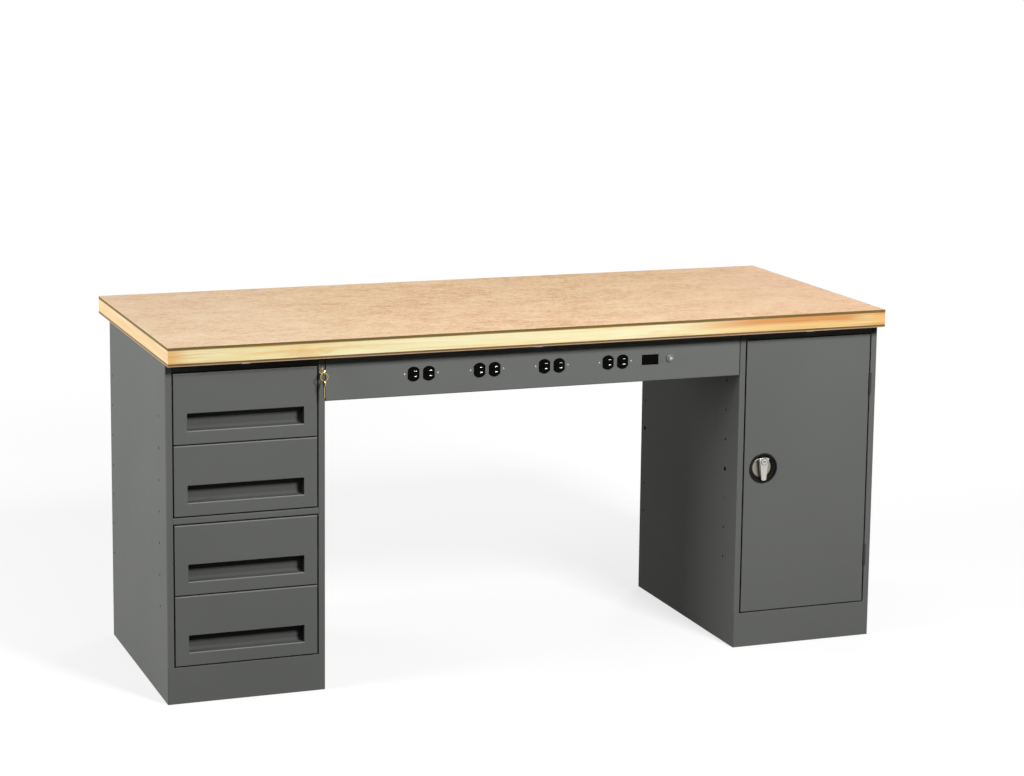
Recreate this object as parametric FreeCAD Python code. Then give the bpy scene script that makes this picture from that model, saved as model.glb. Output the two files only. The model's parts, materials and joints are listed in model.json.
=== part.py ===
import FreeCAD, Part
import math
import os

# Modular workbench: a laminated worktop on a drawer pedestal (left) and a cabinet pedestal (right),
# joined by a powered apron. Millimetres, +Z up, front towards -Y,
# origin on the floor under the middle of the worktop.

V = FreeCAD.Vector

# How far cutters and joined shapes run past each other
overshoot = 1.0

# Worktop
top_length = 1829.0
top_depth = 762.0
bench_height = 851.0
skin_thickness = 6.35
core_thickness = 31.8
skin_edge_round = 1.2

# Pedestals
pedestal_width = 380.0
pedestal_depth = 604.0
front_setback = 36.0
end_inset = 1.0

# Sheet metal of the carcass
sheet = 1.2
bend_radius = 2.4
stile_width = 16.0
stile_return = 14.0
rear_flange = 18.0
floor_flange = 20.0
kick_height = 87.0
kick_return = 16.0
kick_end_step = 1.0
kick_edge_round = 0.8
deck_rear_flange = 24.0
top_rail_height = 20.5
top_rail_return = 12.0
top_rear_flange = 18.0
mid_rail_height = 15.0
mid_rail_depth = 20.0

# Columns of holes in the pedestal sides
side_hole_radius = 3.0
large_hole_radius = 5.75
side_hole_count = 7
large_hole_place = 3
lowest_side_hole = 219.0
highest_side_hole_drop = 133.9
front_hole_inset = 72.0
rear_hole_inset = 25.0

# Drawer fronts and pulls
front_gap = 3.0
front_depth = 16.0
front_edge_round = 1.8
pull_side_margin = 31.75
pull_height = 41.0
pull_rise = 31.5
pull_depth = 24.0
pull_scoop_radius = 8.0
pull_finger_room = 13.0
pull_flange = 7.0
pull_wall = 1.0
pull_corner_round = 2.0
window_edge_round = 0.9

# Drawer boxes
box_sheet = 1.0
box_rise = 14.0
box_head_room = 26.5
box_front_setback = 30.0
box_rear_gap = 39.0
box_kept_inside = 55.0

# Telescopic slides and the uprights that carry them
slide_width = 12.7
slide_height = 45.0
slide_gauge = 1.2
slide_play = 0.4
slide_rise = 45.0
slide_to_opening = 0.8
slide_setback = 28.0
slide_rear_gap = 46.0
middle_member_short = 20.0
runner_overlap = 40.0
cabinet_member_flange = 9.5
middle_member_flange = 9.0
runner_flange = 8.5
post_gauge = 1.5
post_depth = 34.0
front_post_setback = 24.8
rear_post_inset = 80.0

# Drawer lock
lock_drop = 15.0
lock_barrel_radius = 6.0
lock_face_radius = 7.4
lock_face_thickness = 2.0
lock_barrel_length = 17.0
plug_radius = 4.2
pin_play = 0.1
running_gap = 0.3
lock_cam_radius = 6.0
lock_cam_thickness = 2.5
lock_pin_radius = 1.5
lock_pin_throw = 5.0
lock_pin_dip = 45.0
fork_play = 0.35
lock_bar_width = 9.0
lock_bar_thickness = 1.2
lock_bar_inset = 2.5
lock_finger_height = 8.0
lock_finger_gap = 2.0
catch_height = 12.0
catch_thickness = 4.0
catch_reach = 9.5
catch_above_slide = 20.0
finger_to_box = 2.5
fork_height = 19.0

# Keys
key_thickness = 2.2
key_bow_radius = 9.0
key_hole_radius = 3.0
key_hole_margin = 2.0
key_blade_height = 6.4
key_blade_depth = 15.0
key_neck = 5.0
key_ring_radius = 9.0
key_ring_band = 0.9
spare_blade_length = 26.0
keyway_play = 0.2

# Cabinet door and its hinges
door_depth = 17.0
door_lip = 14.0
hinge_height = 55.0
hinge_knuckles = 5
hinge_knuckle_radius = 3.2
hinge_pin_radius = 1.5
hinge_leaf = 1.2
hinge_leaf_depth = 14.0
hinge_proud = 3.4
upper_hinge_drop = 126.0
lower_hinge_rise = 123.0

# Door handle
handle_from_door_edge = 52.0
handle_above_middle = 21.5
dish_radius = 38.5
dish_floor_radius = 25.5
dish_mouth_radius = 33.2
dish_depth = 9.0
dish_rim = 2.2
dish_wall = 1.6
lever_above = 28.0
lever_below = 31.0
lever_top_half = 14.0
lever_top_crown = 3.0
lever_shoulder_half = 11.0
lever_shoulder_drop = 12.5
lever_bottom_half = 6.5
lever_bottom_crown = 2.0
lever_thickness = 8.0
lever_under = 1.0
lever_edge_round = 1.2
lever_cylinder_radius = 7.6
lever_cylinder_drop = 10.5
lever_keyway = 9.0
lever_cylinder_proud = 0.8
spindle_radius = 6.0
cam_length = 64.0
cam_width = 20.0
cam_root_round = 9.8
cam_tip_round = 5.0
cam_thickness = 3.0
cam_behind_door = 1.0
spindle_nut_radius = 10.0
spindle_nut_thickness = 4.0

# Shelf
shelf_place = 2
shelf_flange = 20.0
shelf_front_setback = 45.0
shelf_back_gap = 8.0
shelf_side_gap = 0.8
clip_width = 16.0
clip_drop = 18.0
clip_reach = 14.0
clip_gauge = 1.5
clip_peg_play = 0.25

# Powered apron
apron_height = 108.5
apron_seam = 1.8
raceway_depth = 55.0
raceway_flange = 12.0
outlet_row_drop = 56.0
receptacle_pitch = 165.5
receptacle_count = 4
first_receptacle_x = -297.5
outlet_pitch = 38.1
outlet_face_radius = 17.45
outlet_face_width = 28.6
outlet_proud = 1.4
outlet_fit = 0.3
receptacle_body_length = 72.0
receptacle_body_height = 33.0
receptacle_body_depth = 24.0
slot_long = 8.0
slot_short = 6.6
slot_width = 2.2
slot_spacing = 12.7
slot_offset = 4.5
slot_depth = 4.0
ground_hole_radius = 2.4
ground_offset = 7.2

# Rocker switch and circuit breaker
switch_x = 291.0
switch_width = 43.4
switch_height = 24.7
switch_bezel = 2.0
switch_body_margin = 3.0
switch_body_depth = 24.0
rocker_radius = 16.0
rocker_height = 17.0
rocker_pivot_depth = 4.0
rocker_tilt = 8.0
rocker_sink = 0.5
breaker_x = 343.5
breaker_rise = 3.0
breaker_nut_radius = 9.8
breaker_nut_thickness = 3.0
breaker_bushing_radius = 6.5
breaker_body_size = 22.0
breaker_body_depth = 34.0
button_radius = 4.6
button_bevel = 1.2
button_proud = 7.0
button_travel = 3.0

# Inlet for the lead, in the back of the raceway
inlet_from_end = 103.5
inlet_outer_radius = 15.0
inlet_hole_radius = 11.0
inlet_bore_radius = 7.0
inlet_flange = 2.5
inlet_depth = 10.0

# Clips that hold the worktop
top_clip_width = 20.0
top_clip_height = 8.0
top_clip_foot = 16.0
top_clip_gauge = 1.5

# Places worked out from the sizes above
top_thickness = core_thickness + 2 * skin_thickness
pedestal_height = bench_height - top_thickness
front = -top_depth / 2 + front_setback
back = front + pedestal_depth
pedestal_x = top_length / 2 - end_inset - pedestal_width / 2
half_width = pedestal_width / 2
inner_half = half_width - sheet
opening_half = half_width - stile_width
opening_bottom = kick_height
opening_top = pedestal_height - top_rail_height
bank_height = (opening_top - opening_bottom - mid_rail_height) / 2
mid_rail_bottom = opening_bottom + bank_height
mid_rail_top = mid_rail_bottom + mid_rail_height
drawer_front_height = (bank_height - 3 * front_gap) / 2
drawer_front_half = opening_half - front_gap
slide_face = opening_half - slide_to_opening
box_half = slide_face - slide_width
box_height = drawer_front_height - box_rise - box_head_room
box_depth = pedestal_depth - box_front_setback - box_rear_gap
drawer_travel = box_depth - box_kept_inside
cabinet_member_length = pedestal_depth - slide_setback - slide_rear_gap
middle_member_length = cabinet_member_length - middle_member_short
runner_length = drawer_travel + runner_overlap
catch_rise = slide_rise + slide_height / 2 + catch_above_slide
pull_width = 2 * (drawer_front_half - pull_side_margin)
side_hole_span = pedestal_height - highest_side_hole_drop - lowest_side_hole
side_hole_pitch = side_hole_span / (side_hole_count - 1)
knee_half = pedestal_x - half_width
lock_height = opening_top - lock_drop
door_middle = (opening_bottom + opening_top) / 2
handle_height = door_middle + handle_above_middle
outlet_row_height = pedestal_height - outlet_row_drop
inlet_x = knee_half - inlet_from_end
drawer_step = drawer_front_height + front_gap
drawer_bottoms = [
    mid_rail_top + front_gap + drawer_step,
    mid_rail_top + front_gap,
    opening_bottom + front_gap + drawer_step,
    opening_bottom + front_gap,
]

parts = {}


def plan(u, v):
    """Point of a section seen from above."""
    return V(u, v, 0)


def side(u, v):
    """Point of a section seen from the side: depth, height."""
    return V(0, u, v)


def facing(u, v):
    """Point of a section seen from the front: width, height."""
    return V(u, 0, v)


def rounded_face(points, radii, plane):
    """Closed outline with an arc at each corner that has a radius, as a face on the plane."""
    corners = [plane(u, v) for u, v in points]
    count = len(corners)
    ends = []
    arcs = []
    for i, corner in enumerate(corners):
        radius = radii[i]
        if radius <= 0:
            ends.append((corner, corner))
            arcs.append(None)
            continue
        before = (corners[i - 1] - corner).normalize()
        after = (corners[(i + 1) % count] - corner).normalize()
        half_angle = before.getAngle(after) / 2
        reach = radius / math.tan(half_angle)
        start = corner + before * reach
        end = corner + after * reach
        inward = (before + after).normalize()
        middle = corner + inward * (radius / math.sin(half_angle) - radius)
        ends.append((start, end))
        arcs.append(Part.Arc(start, middle, end).toShape())
    edges = []
    for i in range(count):
        if arcs[i] is not None:
            edges.append(arcs[i])
        begin = ends[i][1]
        finish = ends[(i + 1) % count][0]
        if (finish - begin).Length > 1e-6:
            edges.append(Part.LineSegment(begin, finish).toShape())
    return Part.Face(Part.Wire(edges))


def outline(points, plane):
    """Closed outline with sharp corners, as a face on the plane."""
    return rounded_face(points, [0] * len(points), plane)


def bent_sheet(path, gauge, plane, length, radius=0.0):
    """Strip of sheet whose outer face follows the path, with its thickness to the right of it."""
    normals = []
    for (u0, v0), (u1, v1) in zip(path, path[1:]):
        run = math.hypot(u1 - u0, v1 - v0)
        normals.append(((v1 - v0) / run, -(u1 - u0) / run))
    inner = []
    for i, (u, v) in enumerate(path):
        n0 = normals[max(i - 1, 0)]
        n1 = normals[min(i, len(normals) - 1)]
        grow = gauge / (1 + n0[0] * n1[0] + n0[1] * n1[1])
        inner.append((u + (n0[0] + n1[0]) * grow, v + (n0[1] + n1[1]) * grow))
    radii = []
    for i in range(len(path)):
        is_bend = 0 < i < len(path) - 1
        turn = 0.0
        if is_bend:
            turn = normals[i - 1][0] * normals[i][1] - normals[i - 1][1] * normals[i][0]
        radii.append(0.0 if not is_bend or radius <= 0 else (radius if turn < 0 else radius - gauge))
    inner_radii = []
    for i in range(len(path)):
        if radii[i] <= 0:
            inner_radii.append(0.0)
        else:
            inner_radii.append(radius - gauge if radii[i] == radius else radius)
    face = rounded_face(path + inner[::-1], radii + inner_radii[::-1], plane)
    return face.extrude(length)


def block(x0, x1, y0, y1, z0, z1):
    """Rectangular piece between two corners."""
    return Part.makeBox(x1 - x0, y1 - y0, z1 - z0, V(x0, y0, z0))


def rod(radius, start, end):
    """Round bar from one point to another."""
    axis = end - start
    return Part.makeCylinder(radius, axis.Length, start, axis)


def moved(shape, x=0.0, y=0.0, z=0.0):
    """Copy of a shape, shifted."""
    copy = shape.copy()
    copy.translate(V(x, y, z))
    return copy


def mirrored(shape):
    """Copy of a shape reflected from left to right."""
    return shape.mirror(V(0, 0, 0), V(1, 0, 0))


def joined(shapes):
    """One solid out of shapes that touch or overlap."""
    result = shapes[0].multiFuse(shapes[1:])
    return result.removeSplitter()


def edges_near(shape, test):
    """Edges whose middle passes a test."""
    return [edge for edge in shape.Edges if test(edge.CenterOfMass)]


def add(name, shape):
    """Keep a piece under its node name."""
    parts[name] = shape


def group(shapes):
    """Separate solids that share one node."""
    return Part.makeCompound(shapes)


def make_worktop():
    """Three layers: hardboard skins on a wooden core."""
    half_length = top_length / 2
    half_depth = top_depth / 2
    z = pedestal_height
    bottom_skin = block(-half_length, half_length, -half_depth, half_depth, z, z + skin_thickness)
    z += skin_thickness
    core = block(-half_length, half_length, -half_depth, half_depth, z, z + core_thickness)
    z += core_thickness
    top_skin = block(-half_length, half_length, -half_depth, half_depth, z, bench_height)
    rim = edges_near(top_skin, lambda c: abs(c.z - bench_height) < 1e-6)
    add("worktop_bottom_skin", bottom_skin)
    add("worktop_core", core)
    add("worktop_top_skin", top_skin.makeFillet(skin_edge_round, rim))


def make_worktop_clips():
    """Angle clips: a foot under the worktop and a leg down the front of each pedestal's rail."""
    top = pedestal_height
    path = [
        (front - top_clip_foot, top),
        (front, top),
        (front, top - top_clip_height),
    ]
    section = bent_sheet(path, top_clip_gauge, side, V(top_clip_width, 0, 0))
    clip = moved(section, -top_clip_width / 2)
    places = [-pedestal_x, 0.0, pedestal_x]
    add("worktop_clips", group([moved(clip, x) for x in places]))


def pedestal_side(large_holes):
    """Left-hand side of a pedestal about x = 0: stile, panel, rear and floor flanges, hole columns."""
    opening_edge = -opening_half
    path = [
        (opening_edge, front + stile_return),
        (opening_edge, front),
        (-half_width, front),
        (-half_width, back),
        (-half_width + rear_flange, back),
    ]
    panel = bent_sheet(path, sheet, plan, V(0, 0, pedestal_height), bend_radius)
    stile_edge = -opening_half + overshoot
    kick_room = block(
        -half_width - overshoot, stile_edge, front - overshoot, front + sheet, -overshoot, kick_height
    )
    stile_room = block(
        -inner_half, stile_edge, front - overshoot, front + stile_return + overshoot,
        -overshoot, kick_height,
    )
    panel = panel.cut(kick_room).cut(stile_room)
    foot = block(
        -inner_half, -half_width + floor_flange, front + kick_return, back - rear_flange, 0, sheet
    )
    panel = joined([panel, foot])
    holes = []
    for place in range(side_hole_count):
        z = lowest_side_hole + place * side_hole_pitch
        is_large = large_holes and place == large_hole_place
        radius = large_hole_radius if is_large else side_hole_radius
        for y in (front + front_hole_inset, back - rear_hole_inset):
            holes.append(rod(radius, V(-half_width - overshoot, y, z), V(-inner_half + overshoot, y, z)))
    return panel.cut(group(holes))


def pedestal_back():
    """Flat back, held against the rear flanges of the sides, clear of their bends."""
    half = half_width - bend_radius
    return block(-half, half, back - 2 * sheet, back - sheet, sheet, pedestal_height - sheet)


def pedestal_base():
    """Cabinet floor bent down at the front into the kick plate and its foot."""
    rear = back - 2 * sheet
    path = [
        (front + kick_return, 0),
        (front, 0),
        (front, kick_height),
        (rear, kick_height),
        (rear, kick_height - deck_rear_flange),
    ]
    pan = bent_sheet(path, sheet, side, V(2 * inner_half, 0, 0), bend_radius)
    pan = moved(pan, -inner_half)
    face_path = [
        (front + sheet, 0),
        (front, 0),
        (front, kick_height),
        (front + sheet, kick_height),
    ]
    face_section = rounded_face(face_path, [0, kick_edge_round, kick_edge_round, 0], side)
    face_half = half_width - kick_end_step
    face = moved(face_section.extrude(V(2 * face_half, 0, 0)), -face_half)
    face_room = block(
        -half_width, half_width, front - overshoot, front + sheet, -overshoot, kick_height + overshoot
    )
    return joined([pan.cut(face_room), face])


def pedestal_top_frame():
    """Top sheet of a pedestal, bent down at the front into the rail over the opening."""
    rear = back - 2 * sheet
    path = [
        (front + top_rail_return, opening_top),
        (front, opening_top),
        (front, pedestal_height),
        (rear, pedestal_height),
        (rear, pedestal_height - top_rear_flange),
    ]
    middle = bent_sheet(path, sheet, side, V(2 * opening_half, 0, 0), bend_radius)
    middle = moved(middle, -opening_half)
    wing = block(
        opening_half - overshoot, inner_half, front + stile_return, rear - sheet,
        pedestal_height - sheet, pedestal_height,
    )
    return joined([middle, wing, mirrored(wing)])


def make_mid_rail():
    """Channel between the upper and the lower pair of drawers."""
    path = [
        (front + mid_rail_depth, mid_rail_bottom),
        (front, mid_rail_bottom),
        (front, mid_rail_top),
        (front + mid_rail_depth, mid_rail_top),
    ]
    rail = bent_sheet(path, sheet, side, V(2 * opening_half, 0, 0), bend_radius)
    add("left_mid_rail", moved(rail, -pedestal_x - opening_half))


def make_carcasses():
    """Sides, backs, bases and top frames of both pedestals."""
    plain_side = pedestal_side(False)
    holed_side = pedestal_side(True)
    add("left_outer_side", moved(plain_side, -pedestal_x))
    add("left_inner_side", moved(mirrored(holed_side), -pedestal_x))
    add("right_inner_side", moved(holed_side, pedestal_x))
    add("right_outer_side", moved(mirrored(plain_side), pedestal_x))
    for name, x in (("left", -pedestal_x), ("right", pedestal_x)):
        add(name + "_back", moved(pedestal_back(), x))
        add(name + "_base", moved(pedestal_base(), x))
        add(name + "_top_frame", moved(pedestal_top_frame(), x))


def make_slide_posts():
    """Four upright channels between the sides and the slides."""
    posts = []
    for y in (front + front_post_setback, back - rear_post_inset):
        path = [
            (inner_half, y),
            (slide_face, y),
            (slide_face, y + post_depth),
            (inner_half, y + post_depth),
        ]
        height = pedestal_height - sheet - kick_height
        post = moved(bent_sheet(path, post_gauge, plan, V(0, 0, height)), 0, 0, kick_height)
        posts.append(moved(post, -pedestal_x))
        posts.append(moved(mirrored(post), -pedestal_x))
    add("slide_posts", group(posts))


def slide_member(reach_in, reach_out, half_height, length):
    """Channel of a slide on the right of a drawer; reach_in is its web, reach_out its flange ends."""
    web = slide_face - reach_in
    tip = slide_face - reach_out
    path = [(tip, half_height), (web, half_height), (web, -half_height), (tip, -half_height)]
    if reach_in > reach_out:
        path = path[::-1]
    return bent_sheet(path, slide_gauge, facing, V(0, length, 0))


def both_slides(member, y, z):
    """The same slide member on the right and on the left of the drawer at a height."""
    right = moved(member, 0, y, z)
    return [moved(right, -pedestal_x), moved(mirrored(right), -pedestal_x)]


def lock_catch():
    """Block riveted to a drawer's right side, in front of which the lock bar's finger rises."""
    face = front + box_front_setback
    middle = box_rise + catch_rise
    return block(
        box_half, box_half + catch_reach, face - catch_thickness, face,
        middle - catch_height / 2, middle + catch_height / 2,
    )


def make_slides():
    """Telescopic slides: cabinet members on the uprights, middle members, runners on the boxes.

    The lock's catch goes with the runners that are fixed to the same box.
    """
    catch = lock_catch()
    nest = slide_gauge + slide_play
    outer_half = slide_height / 2
    middle_web = nest
    cabinet = slide_member(0, cabinet_member_flange, outer_half, cabinet_member_length)
    middle = slide_member(
        middle_web, middle_web + middle_member_flange, outer_half - nest, middle_member_length
    )
    runner = slide_member(
        slide_width, slide_width - runner_flange, outer_half - 2 * nest, runner_length
    )
    start = front + slide_setback
    fixed = []
    for number, bottom in enumerate(drawer_bottoms, 1):
        z = bottom + box_rise + slide_rise
        fixed += both_slides(cabinet, start, z)
        add(f"drawer_{number}_middle_slides", group(both_slides(middle, start + slide_play, z)))
        on_box = both_slides(runner, front + box_front_setback, z)
        on_box.append(moved(catch, -pedestal_x, 0, bottom))
        add(f"drawer_{number}_runners", group(on_box))
    add("slide_cabinet_members", group(fixed))


def drawer_front():
    """Pan with rounded front edges and a window for the pull; its bottom edge is at z = 0."""
    half = drawer_front_half
    height = drawer_front_height
    pan = block(-half, half, front, front + front_depth, 0, height)
    rim = edges_near(pan, lambda c: abs(c.y - front) < 1e-6)
    pan = pan.makeFillet(front_edge_round, rim)
    hollow = block(
        -half + sheet, half - sheet, front + sheet, front + front_depth + overshoot, sheet, height - sheet
    )
    window_half = pull_width / 2
    window_points = [
        (-window_half, pull_rise),
        (window_half, pull_rise),
        (window_half, pull_rise + pull_height),
        (-window_half, pull_rise + pull_height),
    ]
    window = rounded_face(window_points, [pull_corner_round] * 4, facing).extrude(V(0, 2 * sheet, 0))
    pan = pan.cut(hollow).cut(moved(window, 0, front - sheet / 2))
    reach = window_half + overshoot
    window_rim = edges_near(
        pan, lambda c: abs(c.y - front) < 1e-6 and abs(c.x) < reach and 2 * sheet < c.z < height - 2 * sheet
    )
    return pan.makeFillet(window_edge_round, window_rim)


def drawer_pull():
    """Recessed pull: a scooped trough behind the window, with a flange against the front."""
    face = front + sheet
    low = pull_rise
    high = pull_rise + pull_height + pull_finger_room
    deep = face + pull_depth
    half = pull_width / 2
    grow = pull_wall
    outer_points = [
        (face, low - grow),
        (deep + grow, low - grow),
        (deep + grow, high + grow),
        (face, high + grow),
    ]
    scoop = pull_scoop_radius
    outer_radii = [0, scoop + grow, pull_corner_round + grow, 0]
    outer = rounded_face(outer_points, outer_radii, side).extrude(V(2 * half + 2 * grow, 0, 0))
    outer = moved(outer, -half - grow)
    flange = block(
        -half - pull_flange, half + pull_flange, face, face + grow, low - pull_flange, high + pull_flange
    )
    mouth = face - overshoot
    inner_points = [(mouth, low), (deep, low), (deep, high), (mouth, high)]
    inner = rounded_face(inner_points, [0, scoop, pull_corner_round, 0], side)
    inner = moved(inner.extrude(V(2 * half, 0, 0)), -half)
    return joined([outer, flange]).cut(inner)


def drawer_box():
    """Tray whose sides run forward to the drawer front."""
    wall = box_sheet
    tray_front = front + box_front_setback
    tray_back = tray_front + box_depth
    low = box_rise
    high = box_rise + box_height
    tray = block(-box_half, box_half, tray_front, tray_back, low, high)
    hollow = block(
        -box_half + wall, box_half - wall, tray_front + wall, tray_back - wall,
        low + wall, high + overshoot,
    )
    cheek = block(box_half - wall, box_half, front + sheet, tray_front + wall, low, high)
    return joined([tray.cut(hollow), cheek, mirrored(cheek)])


def make_drawers():
    """Fronts, pulls and boxes of the four drawers, the top one first."""
    pieces = {"front": drawer_front(), "pull": drawer_pull(), "box": drawer_box()}
    for number, bottom in enumerate(drawer_bottoms, 1):
        for word, shape in pieces.items():
            add(f"drawer_{number}_{word}", moved(shape, -pedestal_x, 0, bottom))


def lock_axis_x():
    """Middle of the drawer pedestal's right stile."""
    return -pedestal_x + half_width - stile_width / 2


def make_lock():
    """Barrel in the stile, plug with its cam and pin, and the bar that the pin lifts."""
    x = lock_axis_x()
    z = lock_height
    barrel_end = front + lock_barrel_length
    barrel = joined([
        rod(lock_barrel_radius, V(x, front, z), V(x, barrel_end, z)),
        rod(lock_face_radius, V(x, front - lock_face_thickness, z), V(x, front, z)),
    ])
    bore_start = front - lock_face_thickness - overshoot
    bore = rod(plug_radius + pin_play, V(x, bore_start, z), V(x, barrel_end + overshoot, z))
    add("lock_barrel", barrel.cut(bore))
    stile = parts["left_inner_side"]
    hole = rod(lock_barrel_radius + pin_play, V(x, front - overshoot, z), V(x, front + 2 * sheet, z))
    add("left_inner_side", stile.cut(hole))

    cam_start = barrel_end + running_gap
    cam_end = cam_start + lock_cam_thickness
    bar_end = front + front_post_setback - running_gap
    drop = lock_pin_throw * math.sin(math.radians(lock_pin_dip))
    across = lock_pin_throw * math.cos(math.radians(lock_pin_dip))
    pin = V(x + across, cam_end, z - drop)
    plug_face = front - lock_face_thickness - running_gap
    plug = joined([
        rod(plug_radius, V(x, plug_face, z), V(x, cam_start, z)),
        rod(lock_cam_radius, V(x, cam_start, z), V(x, cam_end, z)),
        rod(lock_pin_radius, pin, V(pin.x, bar_end - running_gap, pin.z)),
    ])
    blade_half = key_blade_height / 2 + keyway_play
    keyway = block(
        x - key_thickness / 2 - keyway_play, x + key_thickness / 2 + keyway_play,
        plug_face - overshoot, plug_face + key_blade_depth + keyway_play, z - blade_half, z + blade_half,
    )
    add("lock_plug", plug.cut(keyway))

    bar_start = bar_end - lock_bar_thickness
    left = -pedestal_x + opening_half + lock_bar_inset
    right = left + lock_bar_width
    fork_right = -pedestal_x + inner_half - running_gap
    fork_top = z + fork_height / 2 - drop
    catch_middles = [bottom + box_rise + catch_rise for bottom in drawer_bottoms]
    finger_tops = [middle - catch_height / 2 - lock_finger_gap for middle in catch_middles]
    bar_bottom = min(finger_tops) - lock_finger_height
    tip = -pedestal_x + box_half + finger_to_box
    plates = [block(left, right, bar_start, bar_end, bar_bottom, fork_top)]
    plates.append(block(left, fork_right, bar_start, bar_end, fork_top - fork_height, fork_top))
    for top in finger_tops:
        plates.append(block(tip, right, bar_start, bar_end, top - lock_finger_height, top))
    slot_half = lock_pin_radius + fork_play
    slot = block(
        pin.x - slot_half, fork_right + overshoot, bar_start - overshoot, bar_end + overshoot,
        pin.z - slot_half, pin.z + slot_half,
    )
    add("lock_bar", joined(plates).cut(slot))


def make_keys():
    """Key in the plug, ring through its bow, and the spare key hanging on the ring."""
    x = lock_axis_x()
    z = lock_height
    plug_face = front - lock_face_thickness - running_gap
    half = key_thickness / 2
    bow_y = plug_face - key_neck - key_bow_radius
    hole = V(x, bow_y - key_bow_radius + key_hole_radius + key_hole_margin, z)
    across = V(key_thickness, 0, 0)
    bow = rod(key_bow_radius, V(x - half, bow_y, z), V(x - half, bow_y, z) + across)
    blade = block(
        x - half, x + half, bow_y, plug_face + key_blade_depth,
        z - key_blade_height / 2, z + key_blade_height / 2,
    )
    eye = rod(key_hole_radius, hole - across, hole + across)
    add("lock_key", joined([bow, blade]).cut(eye))

    band = key_ring_band
    ring_top = hole.z - key_hole_radius + band + running_gap
    ring_middle = V(x, hole.y, ring_top - key_ring_radius)
    edge = V(0, band, 0)
    ring = rod(key_ring_radius + band, ring_middle - edge, ring_middle + edge)
    ring_hole = rod(key_ring_radius - band, ring_middle - edge * 2, ring_middle + edge * 2)
    add("key_ring", ring.cut(ring_hole))

    spare_hole_z = ring_middle.z - key_ring_radius + band + running_gap - key_hole_radius
    spare_bow_z = spare_hole_z - key_bow_radius + key_hole_radius + key_hole_margin
    bow_middle = V(x - half, hole.y, spare_bow_z)
    spare_bow = rod(key_bow_radius, bow_middle, bow_middle + across)
    tip_z = spare_bow_z - key_bow_radius - spare_blade_length
    spare_blade = block(
        x - half, x + half, hole.y - key_blade_height / 2, hole.y + key_blade_height / 2,
        tip_z, spare_bow_z,
    )
    spare_eye_middle = V(x, hole.y, spare_hole_z)
    spare_eye = rod(key_hole_radius, spare_eye_middle - across, spare_eye_middle + across)
    add("spare_key", joined([spare_bow, spare_blade]).cut(spare_eye))


def door_limits():
    """Left, right, bottom and top of the door in the cabinet's opening."""
    left = pedestal_x - opening_half + front_gap
    right = pedestal_x + opening_half - front_gap
    return left, right, opening_bottom + front_gap, opening_top - front_gap


def make_door():
    """Pan with rounded front edges, lips round its back and the hole for the handle dish."""
    left, right, low, high = door_limits()
    pan = block(left, right, front, front + door_depth, low, high)
    rim = edges_near(pan, lambda c: abs(c.y - front) < 1e-6)
    pan = pan.makeFillet(front_edge_round, rim)
    hollow = block(
        left + sheet, right - sheet, front + sheet, front + door_depth - sheet, low + sheet, high - sheet
    )
    mouth = block(
        left + door_lip, right - door_lip, front + sheet, front + door_depth + overshoot,
        low + door_lip, high - door_lip,
    )
    x, z = handle_centre()
    hole_radius = dish_mouth_radius + dish_wall + pin_play
    hole = rod(hole_radius, V(x, front - overshoot, z), V(x, front + 2 * sheet, z))
    add("door_panel", pan.cut(hollow).cut(mouth).cut(hole))


def hinge_leaf_piece(x0, low, first):
    """One leaf of a hinge with every second knuckle, from the first one it carries."""
    axis_x = pedestal_x + opening_half - front_gap / 2
    axis_y = front - hinge_proud
    knuckle_height = hinge_height / hinge_knuckles
    high = low + hinge_height
    pieces = [block(x0, x0 + hinge_leaf, front, front + hinge_leaf_depth, low, high)]
    for k in range(first, hinge_knuckles, 2):
        z0 = low + k * knuckle_height + running_gap / 2
        z1 = z0 + knuckle_height - running_gap
        pieces.append(rod(hinge_knuckle_radius, V(axis_x, axis_y, z0), V(axis_x, axis_y, z1)))
        pieces.append(block(x0, x0 + hinge_leaf, axis_y, front + overshoot, z0, z1))
    bore_start = V(axis_x, axis_y, low - overshoot)
    bore_end = V(axis_x, axis_y, high + overshoot)
    return joined(pieces).cut(rod(hinge_pin_radius + pin_play, bore_start, bore_end))


def make_hinges():
    """Butt hinges at the door's right edge: leaves in the gap, knuckles just proud of the front."""
    axis_x = pedestal_x + opening_half - front_gap / 2
    axis_y = front - hinge_proud
    door_edge = pedestal_x + opening_half - front_gap
    frame_edge = pedestal_x + opening_half
    door_leaves = []
    frame_leaves = []
    pins = []
    door_bottom, door_top = door_limits()[2:]
    for middle in (door_top - upper_hinge_drop, door_bottom + lower_hinge_rise):
        low = middle - hinge_height / 2
        door_leaves.append(hinge_leaf_piece(door_edge, low, 1))
        frame_leaves.append(hinge_leaf_piece(frame_edge - hinge_leaf, low, 0))
        pin_end = V(axis_x, axis_y, low + hinge_height)
        pins.append(rod(hinge_pin_radius, V(axis_x, axis_y, low), pin_end))
    add("hinge_door_leaves", group(door_leaves))
    add("hinge_frame_leaves", group(frame_leaves))
    add("hinge_pins", group(pins))


def handle_centre():
    """Place of the handle on the door, seen from the front."""
    left = door_limits()[0]
    return left + handle_from_door_edge, handle_height


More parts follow.
